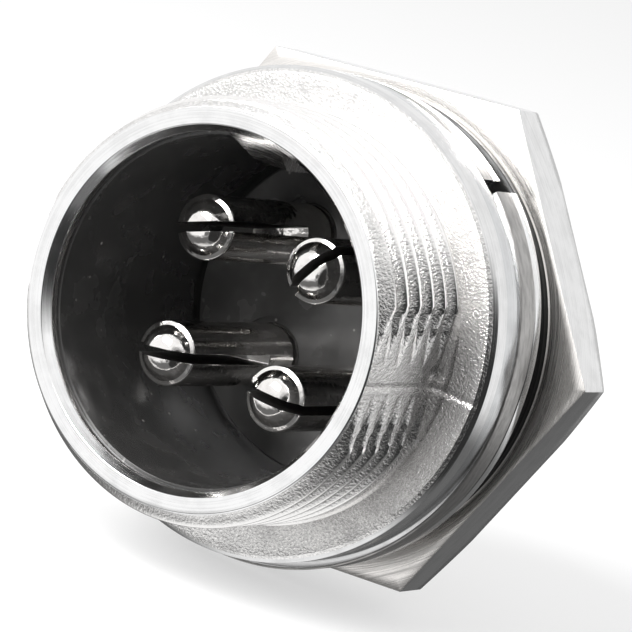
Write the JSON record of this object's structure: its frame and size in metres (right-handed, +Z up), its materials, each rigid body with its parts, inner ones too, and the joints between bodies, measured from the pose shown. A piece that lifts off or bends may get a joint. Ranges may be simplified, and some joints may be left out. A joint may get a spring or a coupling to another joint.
{
  "type": "panel mount circular connector",
  "caption": "Panel-mount male circular connector: flanged and threaded nickel shell, black insert with split contacts, spring washer and hexagon nut.",
  "frame": {"origin": "centre of the flange's rear face, on the connector's axis", "axes": "-Y out of the mouth, +Y towards the solder cups, +Z up through the key, +X to the right seen from the front"},
  "size_m": [0.0222, 0.0196, 0.02],
  "materials": {
    "shell_nickel": "bright nickel plate, turned and cast areas",
    "nut_nickel": "nickel plate over turned faces",
    "washer_steel": "plated spring steel",
    "contact_silver": "silver plate over brass",
    "insert_black": "glossy black moulding",
    "ring_steel": "plain spring steel"
  },
  "bodies": {
    "connector": {"shell": "shell_nickel", "insulator_sleeve": "insert_black", "contact_block": "insert_black", "rear_disc": "insert_black", "retaining_ring": "ring_steel", "contact_1": "contact_silver", "contact_2": "contact_silver", "contact_3": "contact_silver", "contact_4": "contact_silver"},
    "washer": {"lock_washer": "washer_steel"},
    "nut": {"hex_nut": "nut_nickel"}
  },
  "joints": [
    {"name": "nut_travel", "type": "slide", "parent": "connector", "child": "washer", "axis": [0, 1, 0], "range_m": [0, 0.0031]},
    {"name": "nut_turn", "type": "hinge", "parent": "washer", "child": "nut", "pos_m": [0, 0.0045, 0], "axis": [0, 1, 0], "range_deg": [0, 1080]}
  ],
  "couplings": [
    {"joint": "nut_travel", "follows": "nut_turn", "m_per_rad": 0.00015915}
  ]
}
